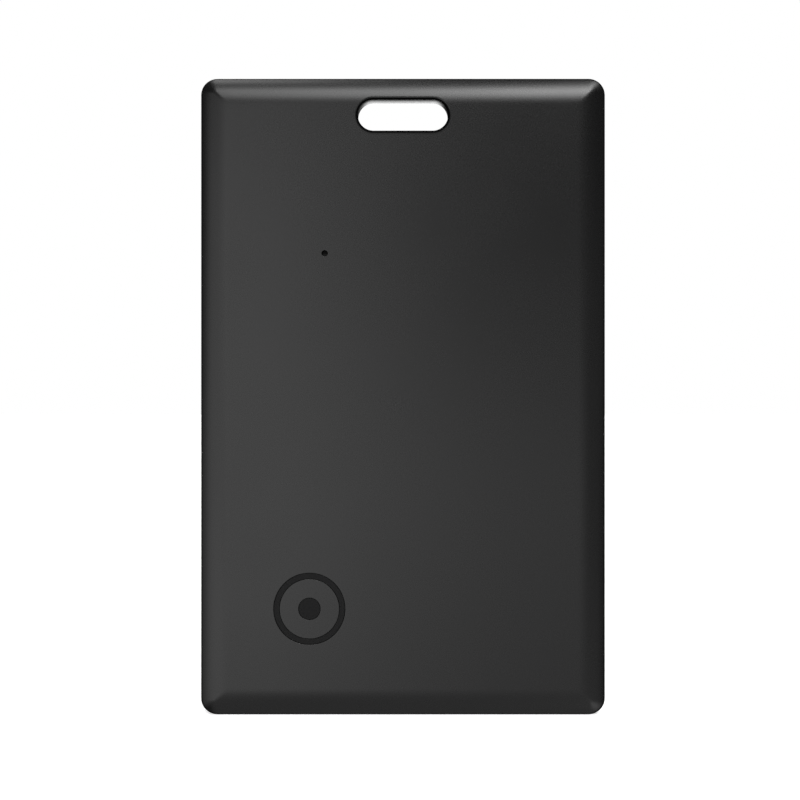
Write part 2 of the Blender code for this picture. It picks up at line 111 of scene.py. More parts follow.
def circleLoop(radius, sides=96):
    # (r cos a, r sin a) for equal steps of a
    angle = np.arange(sides) * 2 * math.pi / sides
    return radius * np.column_stack((np.cos(angle), np.sin(angle)))


def lifted(loop, centre, depth):
    # the flat loop moved to a centre, with y at a depth behind the front face
    y = frontY + np.broadcast_to(depth, len(loop))
    return np.column_stack((loop[:, 0] + centre[0], y, loop[:, 1] + centre[1]))


def inside(points, loop):
    # a point is inside when a ray to its right crosses the loop an odd number of times
    x, z = points[:, :1], points[:, 1:]
    startX, startZ = loop.T
    endX, endZ = np.roll(loop, -1, axis=0).T
    rise = np.where(endZ == startZ, 1.0, endZ - startZ)
    crossing = startX + (z - startZ) * (endX - startX) / rise
    hits = ((startZ > z) != (endZ > z)) & (x < crossing)
    return hits.sum(axis=1) % 2 == 1


def skin(outer, holes=(), inner=(), clearance=0.1 * mm, surface=None):
    # fills between an outer loop and holes with triangles on the loops' own points,
    # as a Delaunay net in x and z; inner loops shape it and stop short of the holes;
    # where two loops cross, the new point takes its depth from the surface, or the outer loop's
    flatHoles = [hole[:, ::2] for hole in holes]
    points, edges, count = [], [], 0
    for loop in (outer, *holes, *inner):
        flat = loop[:, ::2]
        free = np.ones(len(loop), bool)
        if any(loop is one for one in inner):
            for hole in flatHoles:
                near = np.linalg.norm(flat[:, None] - hole[None], axis=2).min(axis=1)
                free &= (near > clearance) & ~inside(flat, hole)
        place = np.cumsum(free) - 1 + count
        joined = free & np.roll(free, -1)
        edges.append(np.column_stack((place, np.roll(place, -1)))[joined])
        points.append(loop[free])
        count += free.sum()
    points = np.vstack(points)
    flat = points[:, ::2] / mm
    net = delaunay_2d_cdt(flat.tolist(), np.vstack(edges).tolist(), [], 0, 1e-6)
    made = [place for place, first in enumerate(net[3]) if not first]
    source = np.array([first[0] if first else -1 for first in net[3]])
    if made:
        crossings = np.array([net[0][place] for place in made]) * mm
        depth = surface(crossings) if surface else outer[0, 1] - frontY
        points = np.vstack((points, lifted(crossings, (0.0, 0.0), depth)))
        source[made] = np.arange(len(points) - len(made), len(points))
    triangles = source[np.array(net[2])]
    centres = points[triangles].mean(axis=1)[:, ::2]
    wanted = inside(centres, outer[:, ::2])
    for hole in flatHoles:
        wanted &= ~inside(centres, hole)
    return points, triangles[wanted]


def weld(name, grids, skins=(), sharpAbove=35):
    # grids are rings x around x 3 and close on themselves; shared borders are merged
    points, faces, count = [], [], 0
    for grid in grids:
        rings, around = grid.shape[:2]
        here = np.arange(rings * around).reshape(rings, around) + count
        beside = np.roll(here, -1, axis=1)
        quads = np.stack((here[:-1], beside[:-1], beside[1:], here[1:]), axis=-1)
        faces += quads.reshape(-1, 4).tolist()
        points.append(grid.reshape(-1, 3))
        count += rings * around
    for patch, triangles in skins:
        faces += (triangles + count).tolist()
        points.append(patch)
        count += len(patch)
    mesh = bpy.data.meshes.new(name)
    mesh.from_pydata(np.vstack(points).tolist(), [], faces)
    shape = bmesh.new()
    shape.from_mesh(mesh)
    bmesh.ops.remove_doubles(shape, verts=shape.verts, dist=2e-7)
    bmesh.ops.dissolve_degenerate(shape, edges=shape.edges, dist=1e-8)
    bmesh.ops.recalc_face_normals(shape, faces=shape.faces)
    loose = sum(not edge.is_manifold for edge in shape.edges)
    shape.to_mesh(mesh)
    shape.free()
    mesh.shade_smooth()
    mesh.set_sharp_from_angle(angle=math.radians(sharpAbove))
    markEdges(mesh)
    piece = bpy.data.objects.new(name, mesh)
    bpy.context.scene.collection.objects.link(piece)
    print(f"  {name}: {len(mesh.polygons)} faces, {loose} open edges")
    return piece


def markEdges(mesh):
    # edgeWear is 0 where a normal lies along x, y or z and nears 1 where it is diagonal
    normals = np.zeros(len(mesh.vertices) * 3, np.float32)
    mesh.vertex_normals.foreach_get("vector", normals)
    straight = np.abs(normals.reshape(-1, 3)).max(axis=1)
    wear = np.clip((0.86 - straight) / 0.14, 0, 1)
    values = mesh.attributes.new("edgeWear", "FLOAT", "POINT").data
    values.foreach_set("value", wear.astype(np.float32))


def paintRimShade(mesh):
    # the rim shade is painted shade, a near-black matt colour that darkens edges: it is 1 within a
    # distance of the slot's stadium outline, and where the card's outline leans sideways by more than
    # an amount, more at the sides than along the top and bottom; it fades to 0 on the face and the
    # walls, so the slot's wall is painted darker towards its mouth
    rim = paintedShadeRims
    count = len(mesh.vertices)
    places, normals = np.zeros(count * 3, np.float32), np.zeros(count * 3, np.float32)
    mesh.vertices.foreach_get("co", places)
    mesh.vertex_normals.foreach_get("vector", normals)
    x, y, z = places.reshape(-1, 3).T
    across, _, along = np.abs(normals.reshape(-1, 3)).T
    sideways = np.hypot(across, along)
    depth = y - frontY
    straight = (slot["width"] - slot["height"]) / 2
    fromAxis = np.hypot(np.maximum(np.abs(x) - straight, 0), z + rim["lipDrop"])
    fromSlot = fromAxis - slot["height"] / 2
    lip = np.clip((rim["lip"] - fromSlot) / rim["lipFade"], 0, 1)
    lean = np.clip((sideways - rim["from"]) / (rim["to"] - rim["from"]), 0, 1)
    sides = rim["topShare"] + (1 - rim["topShare"]) * across / np.maximum(sideways, 1e-6)
    onOutline = (fromSlot > 2 * rim["lip"]) & (depth < rim["outlineDepth"])
    shade = np.maximum(lip * (depth < rim["lipDepth"]), lean * sides * onOutline)
    values = mesh.attributes.new("paintedRimShade", "FLOAT", "POINT").data
    values.foreach_set("value", shade.astype(np.float32))


def turned(name, profile, centre, sides=96, closed=False):
    # a profile of (radius, depth) points carried once around the centre
    profile = np.array(profile)
    if closed:
        profile = np.vstack((profile, profile[:1]))
    unit = circleLoop(1.0, sides)
    rings = [lifted(unit * radius, centre, depth) for radius, depth in profile]
    return weld(name, [np.array(rings)])


def softened(corners, radius, steps=4, closed=True, past=1.6):
    # each corner of the outline becomes an arc that touches both sides, with one extra
    # point on each flat, past times as far from the corner as the arc's end
    corners = np.array(corners, float)
    made = []
    for place, corner in enumerate(corners):
        if not closed and place in (0, len(corners) - 1):
            made.append(corner)
            continue
        before = corners[place - 1] - corner
        after = corners[(place + 1) % len(corners)] - corner
        before /= np.linalg.norm(before)
        after /= np.linalg.norm(after)
        turn = math.acos(np.clip(before @ after, -1, 1))
        reach = radius / math.tan(turn / 2)
        inward = (before + after) / np.linalg.norm(before + after)
        heart = corner + inward * radius / math.sin(turn / 2)
        start, end = corner + before * reach - heart, corner + after * reach - heart
        share = np.linspace(0, 1, steps + 1)[:, None]
        spokes = start * (1 - share) + end * share
        spokes *= radius / np.linalg.norm(spokes, axis=1)[:, None]
        made += [corner + before * reach * past, *(heart + spokes), corner + after * reach * past]
    return np.array(made)


# front cover

frontCover = {
    "cornerRadius": 2.2 * mm,
    "innerCorner": 0.4 * mm,  # least corner radius of the border's inner loops
    "borderWidth": 3.7 * mm,
    "borderTilt": math.radians(28),
    "edgeRadius": 0.4 * mm,
    "crownSteps": 18,
    "edgeSteps": 8,
    "glueInset": 1.0 * mm,
    "glueStep": 0.15 * mm,  # how far the glue bed is sunk below the seam
    "rim": 3.0 * mm,
    "hollowTop": -7.5 * mm,
    "hollowRadius": 1.5 * mm,
    "ceiling": 0.55 * mm,
    "buttonHole": 4.76 * mm,
    "portHole": 0.4 * mm,
    "smallEdge": 0.04 * mm,
    # loops on the flat this far outside an edge keep the shading of the edge off the flat
    "borderSupport": 0.25 * mm,
    "slotSupports": (0.12 * mm, 0.35 * mm),
    "holeSupports": (0.1 * mm, 0.3 * mm),
    "clearance": 0.04 * mm,
}
slot = {
    "width": 12.0 * mm,
    "height": 4.13 * mm,
    "edgeRadius": 0.32 * mm,
    "wall": 1.0 * mm,
    "edgeSteps": 8,
}
# painted shade: near-black matt bands round the slot and along the card's outline, darkest at the
# sides
paintedShadeRims = {
    "lip": 0.37 * mm,  # how far the band of painted shade round the slot reaches
    "lipFade": 0.12 * mm,
    "lipDrop": 0.1 * mm,  # the band of painted shade sits this much lower than the slot
    "lipDepth": 0.5 * mm,
    "from": 0.47,  # sideways lean of the outline's normal where the painted shade starts
    "to": 0.60,
    "topShare": 0.15,  # how much painted shade the outline takes along the top and bottom, next to the sides
    "outlineDepth": 1.1 * mm,
}
seamDepth = depthOf("front_cover", 1)


def cardLoop(inset, least=0.0):
    radius = max(frontCover["cornerRadius"] - inset, least)
    return roundedLoop(cardWidth - 2 * inset, cardHeight - 2 * inset, radius)


def slotLoop(spread):
    # a stadium: the slot's outline grown by a spread all round
    height = slot["height"] + 2 * spread
    return roundedLoop(slot["width"] + 2 * spread, height, height / 2, corner=20, across=24, up=1)


edgeReach = frontCover["edgeRadius"] * (1 - math.sin(frontCover["borderTilt"]))
crownRadius = (frontCover["borderWidth"] - edgeReach) / math.sin(frontCover["borderTilt"])
crownDrop = crownRadius * (1 - math.cos(frontCover["borderTilt"]))


def crownDepth(inset):
    # an arc that leaves the flat face at the border's inner side and falls to the edge
    run = np.clip(frontCover["borderWidth"] - inset, 0, None)
    return crownRadius - np.sqrt(crownRadius**2 - run**2)


def faceDepth(loop, centre):
    # depth of the crowned face under a loop that is nowhere near a corner of the card
    x = np.abs(loop[:, 0] + centre[0] - cardMiddle[0])
    z = np.abs(loop[:, 1] + centre[1] - cardMiddle[1])
    return crownDepth(np.minimum(cardWidth / 2 - x, cardHeight / 2 - z))


hollowLow = cadBox[0].z + frontCover["rim"]
hollowSize = (cardWidth - 2 * frontCover["rim"], frontCover["hollowTop"] - hollowLow)
hollowMiddle = (0.0, (frontCover["hollowTop"] + hollowLow) / 2)


def hollowLoop():
    # the rounded rectangle of the space for the parts inside
    return roundedLoop(*hollowSize, frontCover["hollowRadius"], corner=8, across=4, up=6)


def mouth(loopAt, radius, centre, steps):
    # rings of a hole's rounded rim: a quarter circle from the crowned face into the hole
    rings = []
    base = faceDepth(loopAt(radius), centre)
    for lean in np.linspace(0, math.pi / 2, steps + 1):
        spread = radius * (1 - math.sin(lean))
        rings.append(lifted(loopAt(spread), centre, base + radius * (1 - math.cos(lean))))
    return rings


def makeFrontCover():
    look = frontCover
    seam = seamDepth
    flange = seam - look["glueStep"]
    face = [lifted(cardLoop(edgeReach), cardMiddle, crownDrop)]
    for lean in look["borderTilt"] * np.linspace(1, 0, look["crownSteps"] + 1)[1:]:
        inset = look["borderWidth"] - crownRadius * math.sin(lean)
        face.append(lifted(cardLoop(inset, look["innerCorner"]), cardMiddle, crownDepth(inset)))
    support = look["borderWidth"] + look["borderSupport"]
    face.append(lifted(cardLoop(support, look["innerCorner"]), cardMiddle, 0.0))

    edge = []
    for lean in np.linspace(look["borderTilt"], math.pi / 2, look["edgeSteps"] + 1):
        inset = look["edgeRadius"] * (1 - math.sin(lean))
        drop = crownDrop + look["edgeRadius"] * (math.cos(look["borderTilt"]) - math.cos(lean))
        edge.append(lifted(cardLoop(inset), cardMiddle, drop))
    edge.append(lifted(cardLoop(0.0), cardMiddle, seam))
    edge.append(lifted(cardLoop(look["glueInset"]), cardMiddle, seam))
    edge.append(lifted(cardLoop(look["glueInset"]), cardMiddle, flange))

    slotRings = mouth(slotLoop, slot["edgeRadius"], slotMiddle, slot["edgeSteps"])
    slotRings.append(lifted(slotLoop(0.0), slotMiddle, seam))
    slotRings.append(lifted(slotLoop(slot["wall"]), slotMiddle, seam))
    slotRings.append(lifted(slotLoop(slot["wall"]), slotMiddle, flange))

    holes, holeRings, supports = [slotRings[0]], [slotRings], []
    for spread in look["slotSupports"]:
        loop = slotLoop(slot["edgeRadius"] + spread)
        supports.append(lifted(loop, slotMiddle, faceDepth(loop, slotMiddle)))
    ceilingHoles = []
    openings = (("button_cap", look["buttonHole"], 128), ("port_membrane", look["portHole"], 48))
    for node, radius, sides in openings:
        centre = middleOf(node)
        grown = lambda spread: circleLoop(radius + spread, sides)
        rings = mouth(grown, look["smallEdge"], centre, 4)
        rings.append(lifted(circleLoop(radius, sides), centre, look["ceiling"]))
        holes.append(rings[0])
        holeRings.append(rings)
        ceilingHoles.append(rings[-1])
        for spread in look["holeSupports"]:
            supports.append(lifted(circleLoop(radius + spread, sides), centre, 0.0))

    hollow = [lifted(hollowLoop(), hollowMiddle, depth) for depth in (flange, look["ceiling"])]
    crowned = lambda at: faceDepth(at, (0.0, 0.0))
    skins = [
        skin(face[0], holes, face[1:] + supports, look["clearance"], crowned),
        skin(edge[-1], [hollow[0], slotRings[-1]]),
        skin(hollow[1], ceilingHoles),
    ]
    grids = [np.array(rings) for rings in (edge, *holeRings, hollow)]
    cover = weld("frontShell", grids, skins)
    paintRimShade(cover.data)
    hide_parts("front_cover")
    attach(cover, "card")
    return cover


# back cover

backCover = {
    "edgeRadius": 0.4 * mm,
    "edgeSteps": 8,
    "floor": 1.95 * mm,
    "postRadius": 0.7 * mm,
    "postEdge": 0.12 * mm,
    "postSides": 32,
    "edgeSupport": 0.2 * mm,
    "slotSupport": 0.15 * mm,
    "clearance": 0.04 * mm,
    "bondLine": 0.05 * mm,  # between the two covers
}
postPlaces = ((-21.4, 27.8), (-21.4, -7.2), (-21.4, -36.8), (21.4, -25.7))  # mm from the card's middle


def makeBackCover():
    look = backCover
    seam = seamDepth + look["bondLine"]
    edge = [lifted(cardLoop(0.0), cardMiddle, seam)]
    for lean in np.linspace(math.pi / 2, 0, look["edgeSteps"] + 1):
        inset = look["edgeRadius"] * (1 - math.sin(lean))
        depth = cardThickness - look["edgeRadius"] * (1 - math.cos(lean))
        edge.append(lifted(cardLoop(inset), cardMiddle, depth))
    back = lifted(cardLoop(look["edgeRadius"] + look["edgeSupport"]), cardMiddle, cardThickness)

    slotRings = []
    for lean in np.linspace(0, math.pi / 2, slot["edgeSteps"] + 1):
        spread = slot["edgeRadius"] * (1 - math.sin(lean))
        depth = cardThickness - slot["edgeRadius"] * (1 - math.cos(lean))
        slotRings.append(lifted(slotLoop(spread), slotMiddle, depth))
    slotRings.append(lifted(slotLoop(0.0), slotMiddle, seam))
    grown = slotLoop(slot["edgeRadius"] + look["slotSupport"])
    slotSupport = lifted(grown, slotMiddle, cardThickness)

    hollow = [lifted(hollowLoop(), hollowMiddle, depth) for depth in (seam, look["floor"])]
    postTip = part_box("back_cover")[0].y - frontY
    posts, tips = [], []
    for x, z in postPlaces:
        centre = (x * mm, cardMiddle[1] + z * mm)
        radius, soft, sides = look["postRadius"], look["postEdge"], look["postSides"]
        rings = [lifted(circleLoop(radius, sides), centre, look["floor"])]
        for lean in np.linspace(math.pi / 2, 0, 5):
            reach = radius - soft * (1 - math.sin(lean))
            depth = postTip + soft * (1 - math.cos(lean))
            rings.append(lifted(circleLoop(reach, sides), centre, depth))
        posts.append(rings)
        tips.append(skin(rings[-1]))
    skins = [
        skin(edge[-1], [slotRings[0]], [back, slotSupport], look["clearance"]),
        skin(edge[0], [hollow[0], slotRings[-1]]),
        skin(hollow[1], [rings[0] for rings in posts]),
        *tips,
    ]
    grids = [np.array(rings) for rings in (edge, slotRings, hollow, *posts)]
    cover = weld("backShell", grids, skins)
    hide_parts("back_cover")
    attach(cover, "card")
    return cover


# button: cap, seal ring and the dot that presses the dome

button = {
    "capRadius": 3.95 * mm,
    "bore": 1.47 * mm,
    "capFlange": 0.62 * mm,
    "sealInner": 4.0 * mm,
    "sealOuter": 4.71 * mm,
    "sealFlange": 0.95 * mm,
    "dotRadius": 1.42 * mm,
    "dotFlange": 0.43 * mm,
    "capFlangeThickness": 0.15 * mm,
    "sealFlangeThickness": 0.12 * mm,
    "dotFlangeThickness": 0.09 * mm,
    "edge": 0.03 * mm,
}


def makeButton():
    # each piece is its section, as (radius, depth) corners, turned about the button's axis
    look = button
    centre = middleOf("button_cap")
    capBack = depthOf("button_cap", 1)
    capFlangeFront = capBack - look["capFlangeThickness"]
    cap = [
        (look["bore"], 0.0),
        (look["capRadius"], 0.0),
        (look["capRadius"], capFlangeFront),
        (look["capRadius"] + look["capFlange"], capFlangeFront),
        (look["capRadius"] + look["capFlange"], capBack),
        (look["bore"], capBack),
    ]
    sealBack = depthOf("button_seal", 1)
    sealFlangeFront = sealBack - look["sealFlangeThickness"]
    seal = [
        (look["sealInner"], 0.0),
        (look["sealOuter"], 0.0),
        (look["sealOuter"], sealFlangeFront),
        (look["sealOuter"] + look["sealFlange"], sealFlangeFront),
        (look["sealOuter"] + look["sealFlange"], sealBack),
        (look["sealInner"], sealBack),
    ]
    dotBack = depthOf("button_plunger", 1)
    dotFlangeFront = dotBack - look["dotFlangeThickness"]
    dot = [
        (0.0, 0.0),
        (look["dotRadius"], 0.0),
        (look["dotRadius"], dotFlangeFront),
        (look["dotRadius"] + look["dotFlange"], dotFlangeFront),
        (look["dotRadius"] + look["dotFlange"], dotBack),
        (0.0, dotBack),
    ]
    pieces = []
    for name, node, outline, body, finish, closed in (
        ("pressCap", "button_cap", cap, "button", "shell", True),
        ("sealRing", "button_seal", seal, "card", "elastomer", True),
        ("pressDot", "button_plunger", dot, "button", "elastomer", False),
    ):
        profile = softened(outline, look["edge"], closed=closed)
        piece = turned(name, profile, centre, sides=128, closed=closed)
        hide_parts(node)
        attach(piece, body)
        pieces.append(piece)
    return pieces


# switch under the button: a sprung dome beneath a clear film, both flattened by the press

switch = {
    "rise": 0.22 * mm,
    "crown": 2.2 * mm,  # radius at which the dome meets its flat lip
    "steps": 32,
    "pressed": 0.55,  # share of its height that the dome keeps at full press
    "sprungDome": {"node": "snap_dome", "finish": "steel", "radius": 2.5 * mm, "thickness": 0.06 * mm},
    "domeCover": {"node": "dome_film", "finish": "film", "radius": 3.8 * mm, "thickness": 0.04 * mm},
    "skirt": (2.5 * mm, 3.0 * mm),  # the film falls to the board between these radii
}


def domeDepth(radius, top):
    # the rise times 2 t^2 - t^4, with t the radius over the crown's and 1 on the flat lip
    share = np.clip(radius / switch["crown"], 0, 1)
    return top + switch["rise"] * (2 * share**2 - share**4)


def makeSwitch():
    # both pieces are a sheet of even thickness over the same dome
    centre = middleOf("snap_dome")
    foot = depthOf("snap_dome", 1)
    pieces = []
    for name in ("sprungDome", "domeCover"):
        look = switch[name]
        flat = foot - look["thickness"]
        radii = np.linspace(0, look["radius"], switch["steps"] + 1)
        front = np.minimum(domeDepth(radii, depthOf(look["node"], 0)), flat)
        if look["radius"] > switch["skirt"][1]:
            inner, outer = switch["skirt"]
            front += (flat - front[-1]) * np.clip((radii - inner) / (outer - inner), 0, 1)
        top = np.column_stack((radii, front))
        under = np.column_stack((radii, front + look["thickness"]))[::-1]
        piece = turned(name, np.vstack((top, under)), centre)
        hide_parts(look["node"])
        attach(piece, "card")
        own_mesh(piece)
        pieces.append(piece)
    return pieces


# materials


class Signal:  # a shader socket that takes part in sums
    def __init__(self, tree, socket=None):
        self.tree = tree
        self.socket = socket

    def node(self, kind, settings=None, values=None, output=0):
        # any node: its settings are set first, then its sockets are fed or linked
        made = self.tree.nodes.new(kind)
        for name, value in (settings or {}).items():
            if name == "stops":
                for place, colour in value[1:-1]:
                    made.color_ramp.elements.new(place)
                for stop, (place, colour) in zip(made.color_ramp.elements, value):
                    stop.position = place
                    stop.color = (*colour, 1.0) if len(colour) == 3 else colour
            else:
                setattr(made, name, value)
        for name, value in (values or {}).items():
            if isinstance(value, Signal):
                self.tree.links.new(value.socket, made.inputs[name])
            else:
                made.inputs[name].default_value = value
        return Signal(self.tree, made.outputs[output])

    def sum(self, operation, first, second=0.0):
        return self.node("ShaderNodeMath", {"operation": operation}, {0: first, 1: second})

    def __add__(self, other):
        return self.sum("ADD", self, other)

    def __sub__(self, other):
        return self.sum("SUBTRACT", self, other)

    def __rsub__(self, other):
        return self.sum("SUBTRACT", other, self)

    def __mul__(self, other):
        return self.sum("MULTIPLY", self, other)

    def __truediv__(self, other):
        return self.sum("DIVIDE", self, other)

    def __pow__(self, other):
        return self.sum("POWER", self, other)

    def __lt__(self, other):
        return self.sum("LESS_THAN", self, other)

    def __gt__(self, other):
        return self.sum("GREATER_THAN", self, other)

    __radd__ = __add__
    __rmul__ = __mul__

    def size(self):
        return self.sum("ABSOLUTE", self)

    def remainder(self):
        return self.sum("FRACT", self)

    def sine(self):
        return self.sum("SINE", self)

    def axes(self):
        # the three numbers of a vector
        split = self.node("ShaderNodeSeparateXYZ", {}, {"Vector": self}).socket.node
        return [Signal(self.tree, socket) for socket in split.outputs]

    def rise(self, low, high):
        # 0 below low, 1 above high and an S-curve between
        settings = {"interpolation_type": "SMOOTHSTEP"}
        return self.node("ShaderNodeMapRange", settings, {0: self, 1: low, 2: high})

    def colour(self, low, high):
        # this value mixes two colours, each three numbers or a link
        first, second = ((*c, 1.0) if isinstance(c, tuple) else c for c in (low, high))
        return self.node("ShaderNodeMix", {"data_type": "RGBA"}, {0: self, 6: first, 7: second}, 2)


def newFinish(name):
    # an empty Principled material, its shader and a Signal to build from
    material = bpy.data.materials.new(name)
    material.use_nodes = True
    shader = material.node_tree.nodes["Principled BSDF"]
    return material, shader, Signal(material.node_tree)


def feed(shader, **values):
    # sockets by their names without spaces
    for socket in shader.inputs:
        key = socket.name.replace(" ", "")
        if key in values:
            value = values[key]
            if isinstance(value, Signal):
                value.tree.links.new(value.socket, socket)
            else:
                socket.default_value = value


def noise(signal, place, scale, detail=2.0, roughness=0.5):
    # a cloud of the given grains per metre
    values = {"Vector": place, "Scale": scale, "Detail": detail, "Roughness": roughness}
    return signal.node("ShaderNodeTexNoise", {}, values)


def bump(signal, height, distance, strength=1.0):
    values = {"Strength": strength, "Distance": distance, "Height": height}
    return signal.node("ShaderNodeBump", {}, values)


shellFinish = {
    "colour": (0.0050, 0.0050, 0.0051),
    "worn": (0.012, 0.012, 0.0124),
    "roughness": 0.27,
    "grain": 0.12 * mm,
    "grainDepth": 0.0016 * mm,
    "cloud": 14 * mm,
    "scuff": 0.9 * mm,
    "scuffShare": 0.6,
    "vary": 0.05,  # how far scuffs, clouds and grain each move the roughness
    # the near-black matt colour, roughness and gloss of the painted shade on the rims
    "rimColour": (0.0010, 0.0010, 0.0010),
    "rimRoughness": 0.6,
    "rimGloss": 0.04,
}


def shellMaterial():
    look = shellFinish
    material, shader, signal = newFinish("shellWithPaintedRimShade")
    place = signal.node("ShaderNodeTexCoord", output=3)
    wear = signal.node("ShaderNodeAttribute", {"attribute_name": "edgeWear"}, output=2)
    cloud = noise(signal, place, 1 / look["cloud"], 3.0)
    rub = wear * noise(signal, place, 1 / look["scuff"], 4.0).rise(0.42, 0.72)
    grain = noise(signal, place, 1 / look["grain"], 2.0, 0.6)
    colour = (rub * look["scuffShare"]).colour(look["colour"], look["worn"])
    vary = look["vary"]
    roughness = look["roughness"] - vary * rub + vary * (cloud - 0.5) + vary * (grain - 0.5)
    normal = bump(signal, grain, look["grainDepth"])
    feed(shader, BaseColor=colour, Roughness=roughness, Normal=normal)
    # the rims get painted shade: a second, near-black matt shader, mixed in by the rim shade attribute
    rim = signal.node("ShaderNodeAttribute", {"attribute_name": "paintedRimShade"}, output=2)
    values = {
        "Base Color": (*look["rimColour"], 1),
        "Roughness": look["rimRoughness"],
        "Specular IOR Level": look["rimGloss"],
    }
    paintedShadeShader = signal.node("ShaderNodeBsdfPrincipled", {}, values)
    satin = Signal(material.node_tree, shader.outputs["BSDF"])
    blend = signal.node("ShaderNodeMixShader", {}, {0: rim, 1: satin, 2: paintedShadeShader})
    surface = material.node_tree.nodes["Material Output"].inputs["Surface"]
    material.node_tree.links.new(blend.socket, surface)
    return material


rubberFinish = {
    "colour": (0.0042, 0.0042, 0.0044),
    "roughness": 0.62,
    "grain": 0.07 * mm,
    "grainDepth": 0.001 * mm,
    "dust": 0.5 * mm,
    "dustColour": (0.012, 0.012, 0.012),
    "dustShare": 0.35,
    "gloss": 0.24,
}


def rubberMaterial():
    look = rubberFinish
    material, shader, signal = newFinish("darkElastomer")
    place = signal.node("ShaderNodeTexCoord", output=3)
    grain = noise(signal, place, 1 / look["grain"], 3.0, 0.6)
    dust = noise(signal, place, 1 / look["dust"], 3.0).rise(0.55, 0.8)
    colour = (dust * look["dustShare"]).colour(look["colour"], look["dustColour"])
    roughness = look["roughness"] + 0.10 * (grain - 0.5)
    normal = bump(signal, grain, look["grainDepth"])
    feed(shader, BaseColor=colour, Roughness=roughness, Normal=normal)
    shader.inputs["Specular IOR Level"].default_value = look["gloss"]
    return material


# the parts inside, on the CAD nodes as they are

tinned = {"colour": (0.74, 0.73, 0.71), "dull": (0.58, 0.57, 0.55), "roughness": 0.34}

# each metal: clean and stained colour, roughness, grain in mm and how drawn out it is
metals = {
    "can": ((0.72, 0.70, 0.66), (0.60, 0.58, 0.55), 0.28, 0.6, 12),
    "nickel": ((0.66, 0.63, 0.58), (0.52, 0.49, 0.45), 0.33, 1.0, 20),
    "brass": ((0.74, 0.53, 0.20), (0.56, 0.36, 0.13), 0.30, 1.2, 30),
    "steel": ((0.62, 0.62, 0.62), (0.48, 0.47, 0.45), 0.24, 0.6, 8),
}
metalKeys = ("colour", "dull", "roughness", "grain", "run")
metalFinishes = {name: dict(zip(metalKeys, row)) for name, row in metals.items()}

# each ceramic: body and speck colour, roughness, and the share of the length that each
# tinned end takes; side is what the flanks are made of, strips a printed antenna
ceramics = {
    "capacitor": ((0.42, 0.30, 0.19), (0.29, 0.20, 0.12), 0.48, 0.22),
    "resistor": ((0.022, 0.022, 0.028), (0.045, 0.045, 0.05), 0.30, 0.20),
    "ferrite": ((0.11, 0.11, 0.12), (0.17, 0.17, 0.17), 0.55, 0.17),
    "antenna": ((0.62, 0.64, 0.66), (0.52, 0.54, 0.56), 0.42, 0.09),
}
ceramicKeys = ("body", "speck", "roughness", "end")
ceramicFinishes = {name: dict(zip(ceramicKeys, row)) for name, row in ceramics.items()}
ceramicFinishes["resistor"]["side"] = (0.74, 0.73, 0.70)
ceramicFinishes["antenna"]["strips"] = 7


def partFinish(name):
    # a new material, its shader, the place in metres and the share of the part's own box
    material, shader, signal = newFinish(name)
    place = signal.node("ShaderNodeTexCoord", output=3)
    share = signal.node("ShaderNodeTexCoord", output=0).axes()
    return material, shader, signal, place, share


def stretched(signal, place, factors):
    # the place with each axis multiplied, so that a pattern runs along the small factors
    values = {0: place, 1: factors}
    return signal.node("ShaderNodeVectorMath", {"operation": "MULTIPLY"}, values)


def offCentre(x, z):
    # distance from the middle of the part's own box, 0.5 at the middle of a side
    return ((x - 0.5) * (x - 0.5) + (z - 0.5) * (z - 0.5)) ** 0.5


def metalMaterial(name, look):
    material, shader, signal, place, _ = partFinish(name)
    drawn = stretched(signal, place, (1.0, 1.0, look["run"]))
    lines = noise(signal, drawn, 1 / (look["grain"] * mm), 3.0)
    stain = noise(signal, place, 1 / (3 * mm), 4.0).rise(0.5, 0.8)
    feed(
        shader,
        BaseColor=(stain * 0.5 + lines * 0.3).colour(look["colour"], look["dull"]),
        Metallic=1.0,
        Roughness=look["roughness"] + 0.12 * (lines - 0.5) + 0.1 * stain,
        Normal=bump(signal, lines, 0.002 * mm),
    )
    return material


def ceramicMaterial(name, look):
    material, shader, signal, place, (x, y, z) = partFinish(name)
    speck = noise(signal, place, 1 / (0.08 * mm), 3.0, 0.7)
    body = speck.rise(0.4, 0.65).colour(look["body"], look["speck"])
    if "side" in look:
        body = y.rise(0.24, 0.30).colour(body, look["side"])
    metal = 1 - (0.5 - (x - 0.5).size()).rise(look["end"] - 0.015, look["end"] + 0.015)
    if "strips" in look:
        band = (x * look["strips"]).remainder()
        strip = ((band - 0.5).size() - 0.28).rise(0.02, 0.05)
        strip = strip * (1 - y.rise(0.1, 0.2)) * z.rise(0.15, 0.17)
        metal = metal + strip - metal * strip
    solder = noise(signal, place, 1 / (0.15 * mm), 2.0)
    feed(
        shader,
        BaseColor=metal.colour(body, solder.colour(tinned["colour"], tinned["dull"])),
        Metallic=metal,
        Roughness=metal * tinned["roughness"] + (1 - metal) * look["roughness"] + 0.1 * (solder - 0.5),
        Normal=bump(signal, metal * 3 + solder + speck, 0.004 * mm),
    )
    return material


chipFinish = {"body": (0.020, 0.020, 0.022), "fleck": (0.045, 0.045, 0.047), "pads": 6, "dot": 0.055}


